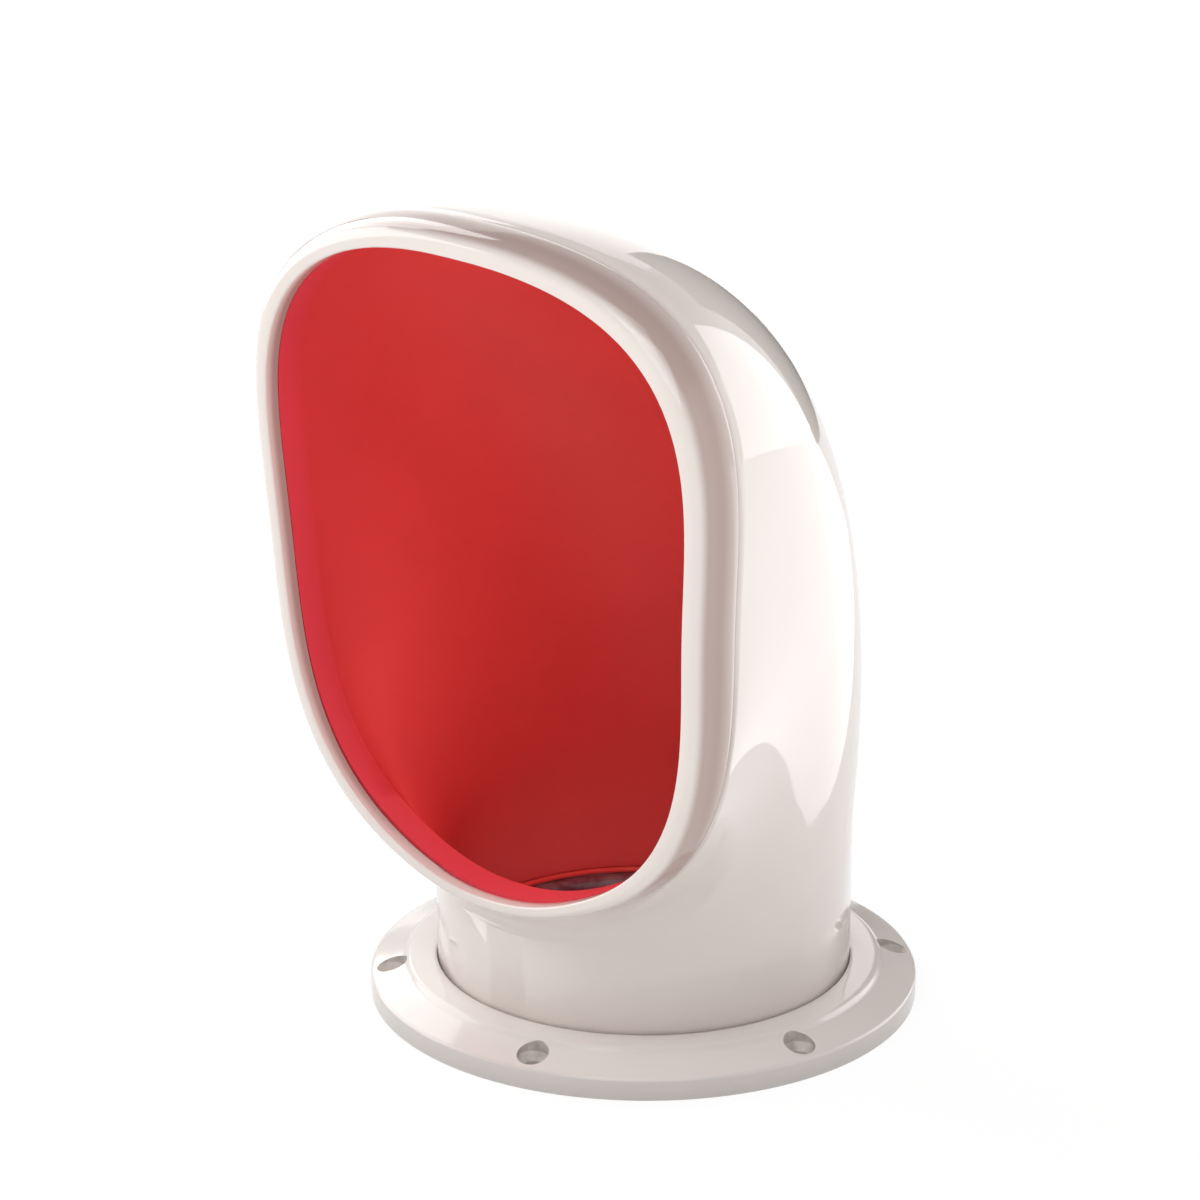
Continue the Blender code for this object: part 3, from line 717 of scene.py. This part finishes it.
class COWLVENT_OT_lining(bpy.types.Operator):
    """Makes the red lining inside the cowl"""
    bl_idname = "cowl_vent.lining"
    bl_label = "Red lining"

    def execute(self, context):
        sizes = context.scene.cowl_sizes
        shape = CowlShape(sizes)
        inset = sizes.wall + SEAT_GAP
        radius = sizes.neck_radius - inset
        bottom = SLEEVE_HIGH.z + SEAT_GAP
        edge = sizes.lining_setback + SEAT_GAP
        outside = shape.skin(inset, sizes.lining, edge, radius, bottom)
        inside = shape.skin(inset + sizes.lining, 0.0, edge, radius - sizes.lining, bottom)
        piece = new_piece(loft(outside + inside[::-1]), "red_lining", "cowl", ["cowl_liner"],
                          SOFT_SHADING)
        piece.data.materials.append(lining_paint(context.scene.cowl_finishes, sizes))
        return {"FINISHED"}


# Deck ring

def gasket_groove(ring, sizes):
    """Inner and outer radius of the groove for the gasket."""
    hole_edge = RING_HIGH.x - ring.hole_inset - ring.hole_radius
    return sizes.neck_radius + RUNNING_GAP + ring.gasket_wall, hole_edge - ring.gasket_wall


def dome_profile(ring, sizes):
    """Outline of the deck ring from the gasket's groove round its edge to the lip at the neck."""
    outer, fillet = RING_HIGH.x, ring.edge_fillet
    edge = sizes.neck_radius + ring.neck_slit

    def height(radius):
        return ring.edge_height + ring.slope * (outer - fillet - radius)

    foot = outer - ring.shoulder_inset
    shoulder = foot - ring.shoulder_width
    crown = height(foot) + ring.shoulder_rise
    groove_in, groove_out = gasket_groove(ring, sizes)
    roof = GASKET_HIGH.z + SEAT_GAP
    profile = [(groove_in, 0.0), (groove_in, roof), (groove_out, roof), (groove_out, 0.0),
               (outer - EDGE, 0.0), (outer, EDGE)]
    middle = Vector((outer - fillet, ring.edge_height - fillet))
    profile += [tuple(middle + fillet * Vector((math.cos(a), math.sin(a))))
                for a in (math.radians(22.5 * step) for step in range(5))]
    flange = (outer - fillet + foot) / 2
    profile.append((flange, height(flange)))
    # A smooth step up at the shoulder, then a land that rises slightly and turns down at the neck
    step = [(foot + 0.0006, height(foot + 0.0006)), (foot, height(foot) + 0.00002)]
    step += [(foot - across * ring.shoulder_width, height(foot) + up * ring.shoulder_rise)
             for across, up in ((0.25, 0.30), (0.65, 0.85))]
    step.append((shoulder, crown))
    land, rise = shoulder - edge, 0.0004
    step += [(shoulder - t * land, crown + rise * (t - t ** 8)) for t in (0.3, 0.6, 0.85, 0.97)]
    profile += through(step, 4)
    # A thin lip at the neck, over the channel of the glide ring
    profile += [(edge, crown - 0.0002), (edge, crown - 0.0010)]
    profile.append((sizes.neck_radius + RUNNING_GAP, crown - 0.0016))
    return profile


def collar_profile(ring, sizes):
    """Outline of the deck ring from the glide ring's channel over the collar and down its bore."""
    neck_inner = sizes.neck_radius - sizes.wall - SEAT_GAP
    collar = neck_inner - ring.sleeve_wall - RUNNING_GAP
    bore = collar - ring.collar_wall
    floor, top = GLIDE_LOW.z - SEAT_GAP, RING_HIGH.z
    profile = [(sizes.neck_radius + RUNNING_GAP, floor), (collar, floor)]
    groove = neck_inner - ring.sleeve_wall - 2 * SEAT_GAP - (SEAL_HIGH.z - SEAL_LOW.z)
    groove_low, groove_high = SEAL_LOW.z - SEAT_GAP, SEAL_HIGH.z + SEAT_GAP
    profile += [(collar, groove_low), (groove, groove_low), (groove, groove_high), (collar, groove_high)]
    slant = 0.0008
    profile += [(collar, top - slant), (collar - slant, top), (bore + slant, top), (bore, top - slant)]
    # The bead that the clip ring snaps under
    bead, snap = CLIP_HIGH.z + SEAT_GAP, 0.0005
    profile += [(bore, bead + 2 * snap), (bore - snap, bead + 1.5 * snap), (bore - snap, bead + snap / 2),
                (bore, bead)]
    # The ledge that the screen's frame lies on
    ledge, reach = FRAME_LOW.z - SEAT_GAP, 0.0020
    profile += [(bore, ledge), (bore - reach, ledge), (bore - reach, ledge - 0.0007), (bore, ledge - 0.0021),
                (bore, 0.0)]
    return profile


def hole_cutter(ring, index):
    """Screw hole with its 90 degree countersink and the pocket above it."""
    outer = RING_HIGH.x
    circle = outer - ring.hole_inset
    lip = ring.edge_height + ring.slope * (outer - ring.edge_fillet - circle - ring.sink_radius)
    seat = lip - (ring.sink_radius - ring.hole_radius)
    ceiling = lip + 3 * ring.slope * ring.sink_radius
    below = -0.002
    profile = [(0.0, below), (ring.hole_radius, below), (ring.hole_radius, seat), (ring.sink_radius, lip),
               (ring.sink_radius, ceiling), (0.0, ceiling)]
    bm = turned(profile, 64, closed=False)
    turn = ring.hole_phase + 2 * math.pi * index / ring.holes
    bmesh.ops.translate(bm, verts=bm.verts, vec=(circle * math.cos(turn), circle * math.sin(turn), 0))
    for face in bm.faces:
        face.material_index = 1
    return meshed(bm, "hole_cutter_%d" % index)


class COWLVENT_OT_ring(bpy.types.Operator):
    """Makes the domed deck ring with its countersunk holes"""
    bl_idname = "cowl_vent.ring"
    bl_label = "Deck ring"

    def execute(self, context):
        ring, sizes = context.scene.ring_sizes, context.scene.cowl_sizes
        finishes = context.scene.cowl_finishes
        profile = dome_profile(ring, sizes) + collar_profile(ring, sizes)
        piece = new_piece(turned(profile), "domed_ring", "deck_ring", ["deck_flange"])
        cutters = [hole_cutter(ring, index) for index in range(ring.holes)]
        for made in (hard_white(finishes, sizes), shaded_sink(finishes)):
            for shape in (piece, *cutters):
                shape.data.materials.append(made)
        combine(piece, cutters, "DIFFERENCE")
        smooth(piece, RING_SHADING)
        return {"FINISHED"}


class COWLVENT_OT_seals(bpy.types.Operator):
    """Makes the gasket under the ring and the O-ring round its collar"""
    bl_idname = "cowl_vent.seals"
    bl_label = "Seals"

    def execute(self, context):
        ring, sizes = context.scene.ring_sizes, context.scene.cowl_sizes
        made = rubber(context.scene.cowl_finishes)
        inner, outer = gasket_groove(ring, sizes)
        inner, outer, top = inner + SEAT_GAP, outer - SEAT_GAP, GASKET_HIGH.z
        section = rounded([(inner, 0.0), (outer, 0.0), (outer, top), (inner, top)], EDGE)
        gasket = new_piece(turned(section), "moulded_gasket", "deck_ring", ["deck_gasket"])
        gasket.data.materials.append(made)
        thick = (SEAL_HIGH.z - SEAL_LOW.z) / 2
        middle = (SEAL_HIGH.x - thick, (SEAL_HIGH.z + SEAL_LOW.z) / 2)
        steps = [2 * math.pi * i / 16 for i in range(16)]
        section = [(middle[0] + thick * math.cos(a), middle[1] + thick * math.sin(a)) for a in steps]
        seal = new_piece(turned(section), "o_ring", "deck_ring", ["neck_seal"])
        seal.data.materials.append(made)
        return {"FINISHED"}


def keyed_ring(ring, inside, outside, angles):
    """The glide ring, which lies in the deck ring's channel, with its keys."""
    low, high = GLIDE_LOW.z, GLIDE_HIGH.z
    top = high - ring.key_height
    middle = (low + top) / 2
    inner, outer = inside - RUNNING_GAP + SEAT_GAP, GLIDE_HIGH.x
    section = rounded([(inner, low), (outer, low), (outer, top), (inner, top)], EDGE)
    glide = new_piece(turned(section), "keyed_ring", "turning_ring", ["glide_ring"])
    keys = [wedge("key_%d" % index, inside, outside, middle, high, turn, ring.key_arc, SOFT_EDGE)
            for index, turn in enumerate(angles)]
    combine(glide, keys, "UNION")
    return glide


def notched_sleeve(ring, inside, outside, neck_radius, angles):
    """The sleeve inside the neck, with a notch for each key."""
    low, high, half = SLEEVE_LOW.z, SLEEVE_HIGH.z, ring.sleeve_wall / 2
    section = [(inside, low), (outside, low), (outside, high), (inside + half, high), (inside, high - half)]
    sleeve = new_piece(turned(rounded(section, FINE_EDGE, 3)), "notched_sleeve", "cowl", ["neck_sleeve"])
    arc, top = ring.key_arc + 2 * SEAT_GAP / inside, GLIDE_HIGH.z + SEAT_GAP
    notches = [wedge("notch_%d" % index, inside - RUNNING_GAP, neck_radius, GLIDE_LOW.z, top, turn, arc)
               for index, turn in enumerate(angles)]
    combine(sleeve, notches, "DIFFERENCE")
    return sleeve


class COWLVENT_OT_running_parts(bpy.types.Operator):
    """Makes the glide ring with its keys, and the notched sleeve in the neck"""
    bl_idname = "cowl_vent.running_parts"
    bl_label = "Running parts"

    def execute(self, context):
        ring, sizes = context.scene.ring_sizes, context.scene.cowl_sizes
        made = nylon(context.scene.cowl_finishes, sizes)
        outside = sizes.neck_radius - sizes.wall - SEAT_GAP
        inside = outside - ring.sleeve_wall
        angles = [2 * math.pi * index / ring.keys + math.pi / 2 for index in range(ring.keys)]
        pieces = (keyed_ring(ring, inside, outside, angles),
                  notched_sleeve(ring, inside, outside, sizes.neck_radius, angles))
        for piece in pieces:
            smooth(piece)
            piece.data.materials.append(made)
        return {"FINISHED"}


def gauze(ring, radius, middle, half_height):
    """Woven wires in both directions, over and under each other, cut to a disc."""
    data = bpy.data.curves.new("gauze_wires", "CURVE")
    data.dimensions = "3D"
    data.bevel_depth = ring.gauze_wire / 2
    data.bevel_resolution = 1
    data.use_fill_caps = True
    swing = half_height - ring.gauze_wire / 2
    wires = int(radius / ring.gauze_pitch)
    for across in (True, False):
        for index in range(-wires, wires + 1):
            away = (index + 0.5) * ring.gauze_pitch
            if abs(away) > radius - ring.gauze_pitch / 2:
                continue
            reach = math.sqrt(radius ** 2 - away ** 2) - ring.gauze_wire
            steps = max(2, round(4 * reach / ring.gauze_pitch))
            line = data.splines.new("POLY")
            line.points.add(steps)
            side = 1 if across else -1
            for step, point in enumerate(line.points):
                along = reach * (2 * step / steps - 1)
                height = middle + side * swing * math.sin(math.pi * along / ring.gauze_pitch) * (-1) ** index
                place = (along, away, height) if across else (away, along, height)
                point.co = (*place, 1.0)
    wires_object = linked("gauze_wires", data)
    bpy.context.view_layer.update()
    mesh = bpy.data.meshes.new_from_object(wires_object.evaluated_get(bpy.context.evaluated_depsgraph_get()))
    bpy.data.objects.remove(wires_object, do_unlink=True)
    return mesh


def spoke(ring, inner, low, high, index):
    """A bar from the hub into the rim, with soft edges."""
    start, end = ring.hub_radius / 2, inner + ring.rim_width / 2
    bm = bmesh.new()
    bmesh.ops.create_cube(bm, size=1.0)
    bmesh.ops.scale(bm, vec=(end - start, ring.spoke_width, 0.75 * (high - low)), verts=bm.verts)
    bmesh.ops.translate(bm, vec=((end + start) / 2, 0, (low + high) / 2), verts=bm.verts)
    long_edges = [e for e in bm.edges if abs(e.verts[0].co.x - e.verts[1].co.x) > start]
    bmesh.ops.bevel(bm, geom=long_edges, offset=EDGE, segments=2, profile=0.5, affect="EDGES", material=-1)
    turn = Matrix.Rotation(2 * math.pi * (index + 0.5) / ring.spokes, 3, "Z")
    bmesh.ops.rotate(bm, cent=(0, 0, 0), matrix=turn, verts=bm.verts)
    return meshed(bm, "spoke_%d" % index)


def spoked_frame(ring):
    """The screen's frame: rim, spokes and a hub with a small hole."""
    low, high, outer = FRAME_LOW.z, FRAME_HIGH.z, FRAME_HIGH.x
    inner = outer - ring.rim_width
    rim = rounded([(inner, low), (outer, low), (outer, high), (inner, high)], SOFT_EDGE)
    piece = new_piece(turned(rim), "spoked_frame", "deck_ring", ["screen_frame"])
    bars = [spoke(ring, inner, low, high, index) for index in range(ring.spokes)]
    radius, hole = ring.hub_radius, ring.hub_radius / 4
    hub = rounded([(hole, low), (radius, low), (radius, high), (hole, high)], SOFT_EDGE)
    bars.append(meshed(turned(hub, 64), "hub"))
    combine(piece, bars, "UNION")
    smooth(piece)
    return piece


def clip_ring(ring):
    """The ring that holds the gauze down, slanted on its inner side."""
    low, high, outer = CLIP_LOW.z, CLIP_HIGH.z, CLIP_HIGH.x
    inner, half = outer - ring.clip_width, (high - low) / 2
    section = [(inner, low), (outer, low), (outer, high), (inner + half, high), (inner, low + half)]
    return new_piece(turned(rounded(section, FINE_EDGE, 3)), "clip_ring", "deck_ring", ["screen_clip"])


class COWLVENT_OT_screen(bpy.types.Operator):
    """Makes the insect screen: frame with spokes, woven gauze and the ring that clips over it"""
    bl_idname = "cowl_vent.screen"
    bl_label = "Insect screen"

    def execute(self, context):
        ring, sizes = context.scene.ring_sizes, context.scene.cowl_sizes
        finishes = context.scene.cowl_finishes
        plastic = hard_white(finishes, sizes)
        for piece in (spoked_frame(ring), clip_ring(ring)):
            piece.data.materials.append(plastic)
        half = (GAUZE_HIGH.z - GAUZE_LOW.z) / 2
        mesh = gauze(ring, GAUZE_HIGH.x, GAUZE_LOW.z + half, half)
        mesh.shade_smooth()
        wires = linked("woven_gauze", mesh)
        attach(wires, "deck_ring")
        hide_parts("screen_gauze")
        mesh.materials.append(steel(finishes))
        return {"FINISHED"}


# Studio

def around(azimuth, elevation, distance):
    """A place around the cowl's middle and the way back: azimuth in degrees from -Y towards +X."""
    a, e = math.radians(azimuth), math.radians(elevation)
    away = Vector((math.sin(a) * math.cos(e), -math.cos(a) * math.cos(e), math.sin(e)))
    return Vector((0, 0, 0.12)) + distance * away, -away


def card(bm, name, made, height=0.0, only_reflected=False):
    """A flat thing of the studio, which may be seen by reflections only."""
    flat = meshed(bm, name)
    flat.location.z = height
    if only_reflected:
        flat.visible_camera = flat.visible_diffuse = flat.visible_shadow = flat.visible_transmission = False
    flat.data.materials.append(made)


def soft_box(name, radiance, size, azimuth, elevation, distance=1.25, roll=0.0):
    """A rectangular lamp whose face has the given radiance and looks at the cowl."""
    lamp = bpy.data.lights.new(name, "AREA")
    lamp.shape = "RECTANGLE"
    lamp.size, lamp.size_y = size
    lamp.energy = radiance * math.pi * size[0] * size[1]
    box = linked(name, lamp)
    box.location, back = around(azimuth, elevation, distance)
    turn = back.to_track_quat("-Z", "Y").to_matrix() @ Matrix.Rotation(math.radians(roll), 3, "Z")
    box.rotation_euler = turn.to_euler()


def light_table(radiance):
    """A glowing sheet on the floor behind, which only reflections see."""
    corners = ((0.103, 0.090), (0.30, 0.16), (1.52, 0.767), (-0.10, 1.455), (-0.125, 0.55), (0.005, 0.318),
               (0.073, 0.168), (0.098, 0.112))
    made = bpy.data.materials.new("table_glow")
    made.use_nodes = True
    tree = made.node_tree
    glow = add(tree, "Emission", {"Color": (1, 1, 1, 1), "Strength": radiance})
    tree.links.new(glow.outputs[0], tree.nodes["Material Output"].inputs["Surface"])
    bm = bmesh.new()
    bm.faces.new([bm.verts.new((x, y, 0.0)) for x, y in corners])
    card(bm, "light_table", made, CAD_BOX[0].z - FLOOR_GAP / 2, only_reflected=True)


def black_flag(size, azimuth, elevation, distance=1.1):
    """A black card behind, which only reflections see."""
    place, back = around(azimuth, elevation, distance)
    bm = bmesh.new()
    bmesh.ops.create_grid(bm, x_segments=1, y_segments=1, size=0.5)
    bmesh.ops.scale(bm, vec=(*size, 1.0), verts=bm.verts)
    turn = back.to_track_quat("Z", "Y").to_matrix().to_4x4()
    bmesh.ops.transform(bm, matrix=Matrix.Translation(place) @ turn, verts=bm.verts)
    made = finish_material("black_card", {"Roughness": 0.9, "Specular IOR Level": 0.0,
                                          "Base Color": (0.01, 0.01, 0.01, 1.0)})[0]
    card(bm, "black_flag", made, only_reflected=True)


def looked_at(tree):
    """The light path's outputs, and 1 for rays from the camera, straight or by way of the object."""
    rays = add(tree, "LightPath").outputs
    seen = add(tree, "Math", {0: rays["Is Camera Ray"], 1: rays["Is Glossy Ray"]}, operation="MAXIMUM")
    seen = add(tree, "Math", {0: seen.outputs[0], 1: rays["Is Transmission Ray"]}, operation="MAXIMUM")
    return rays, seen.outputs[0]


def floor_material(finishes, glow_level):
    """White paper that glows nearly white by its own emission, and keeps the object's shadow close by."""
    made, tree, shader = finish_material("white_paper_floor", {"Roughness": 0.9, "Specular IOR Level": 0.0,
                                                               "Base Color": (*finishes.floor, 1.0)})
    place = add(tree, "TexCoord").outputs["Object"]
    distance = add(tree, "VectorMath", {0: place}, operation="LENGTH")
    # Painted shadow: the paper's glow is painted weaker close by, where the object would shade it, so it
    # throws little light on the ring's edge
    thrown = add(tree, "MapRange", {"Value": distance.outputs["Value"], "From Min": 0.078, "From Max": 0.15,
                                    "To Min": 0.4 * glow_level, "To Max": 1.22 * glow_level})
    strength = add(tree, "MapRange", {"Value": looked_at(tree)[1], "To Min": thrown.outputs["Result"],
                                      "To Max": glow_level})
    glow = add(tree, "Emission", {"Color": (1, 1, 1, 1), "Strength": strength.outputs["Result"]})
    # The share of glow rises from the object outwards, over about a metre
    mix = add(tree, "MapRange", {"Value": distance.outputs["Value"], "From Min": 0.15, "From Max": 0.9,
                                 "To Min": 0.84, "To Max": 1.0})
    mixed = add(tree, "MixShader", {"Fac": mix.outputs["Result"], 1: shader.outputs[0], 2: glow.outputs[0]})
    tree.links.new(mixed.outputs[0], tree.nodes["Material Output"].inputs["Surface"])
    return made


def photo_camera():
    """A long lens from the front right, a little above the cowl."""
    lens = bpy.data.cameras.new("photo_camera")
    lens.sensor_width, lens.sensor_height = 36.0, 36.0
    lens.sensor_fit = "HORIZONTAL"
    lens.lens = 97.215
    lens.clip_start, lens.clip_end = 0.01, 50.0
    camera = linked("photo_camera", lens)
    camera.location = (0.53821, -0.62405, 0.36874)
    camera.rotation_euler = (math.radians(90 - 17.417), 0, math.radians(41.608))
    return camera


def room(levels):
    """A white backdrop, and an even dim light."""
    world = bpy.data.worlds.new("room")
    world.use_nodes = True
    tree = world.node_tree
    backdrop = tree.nodes["Background"]
    backdrop.inputs["Color"].default_value = (1, 1, 1, 1)
    rays, seen = looked_at(tree)
    # The backdrop is white up to about 25 degrees, and the ceiling above it is dim
    up = height_of(tree, add(tree, "TexCoord").outputs["Generated"])
    white = add(tree, "MapRange", {"Value": up, "From Min": 0.4, "From Max": 0.65, "To Min": 1.0,
                                   "To Max": levels.ceiling})
    white = add(tree, "Math", {0: white.outputs["Result"], 1: rays["Is Camera Ray"]}, operation="MAXIMUM")
    light = add(tree, "MapRange", {"Value": seen, "To Min": levels.room, "To Max": white.outputs[0]})
    tree.links.new(light.outputs["Result"], backdrop.inputs["Strength"])
    return world


class COWLVENT_OT_studio(bpy.types.Operator):
    """Makes the camera, the floor, the lamps and the room's even light"""
    bl_idname = "cowl_vent.studio"
    bl_label = "Studio"

    def execute(self, context):
        scene = context.scene
        levels = scene.studio_levels
        scene.camera = photo_camera()
        bm = bmesh.new()
        bmesh.ops.create_grid(bm, x_segments=1, y_segments=1, size=6.0)
        card(bm, "floor", floor_material(scene.cowl_finishes, levels.floor), CAD_BOX[0].z - FLOOR_GAP)
        soft_box("right_box", levels.right_box, (0.95, 1.25), 157, 12, roll=24)
        soft_box("left_box", levels.left_box, (1.1, 1.1), -70, 20)
        soft_box("side_box", levels.side_box, (0.4, 0.8), -111, 30)
        soft_box("back_box", levels.back_box, (0.7, 1.0), -138, 20)
        soft_box("fill_box", levels.fill_box, (1.1, 1.0), 36, 44)
        soft_box("top_box", levels.top_box, (0.7, 0.7), 30, 68)
        light_table(levels.table)
        black_flag((0.48, 1.10), 196.5, 9)
        scene.world = room(levels)
        scene.view_settings.view_transform = "Standard"
        return {"FINISHED"}


class COWLVENT_PT_panel(bpy.types.Panel):
    """Lists the pieces and their sizes"""
    bl_label = "Cowl vent"
    bl_idname = "COWLVENT_PT_panel"
    bl_space_type = "VIEW_3D"
    bl_region_type = "UI"
    bl_category = "Cowl vent"

    def draw(self, context):
        for operator in OPERATORS:
            self.layout.operator(operator.bl_idname)
        for group in (context.scene.cowl_sizes, context.scene.ring_sizes, context.scene.cowl_finishes,
                      context.scene.studio_levels):
            box = self.layout.box()
            for name in group.__annotations__:
                box.prop(group, name)


GROUPS = {"cowl_sizes": CowlSizes, "ring_sizes": RingSizes, "cowl_finishes": Finishes,
          "studio_levels": StudioLevels}
OPERATORS = (COWLVENT_OT_cowl, COWLVENT_OT_lining, COWLVENT_OT_ring, COWLVENT_OT_seals,
             COWLVENT_OT_running_parts, COWLVENT_OT_screen, COWLVENT_OT_studio)


def register():
    for cls in (*GROUPS.values(), *OPERATORS, COWLVENT_PT_panel):
        bpy.utils.register_class(cls)
    for name, group in GROUPS.items():
        setattr(bpy.types.Scene, name, PointerProperty(type=group))


def unregister():
    for name in GROUPS:
        delattr(bpy.types.Scene, name)
    for cls in (COWLVENT_PT_panel, *reversed(OPERATORS), *reversed(GROUPS.values())):
        bpy.utils.unregister_class(cls)


def main():
    register()
    bpy.ops.cowl_vent.studio()
    bpy.ops.cowl_vent.cowl()
    bpy.ops.cowl_vent.lining()
    bpy.ops.cowl_vent.ring()
    bpy.ops.cowl_vent.seals()
    bpy.ops.cowl_vent.running_parts()
    bpy.ops.cowl_vent.screen()


if __name__ == "__main__":
    main()
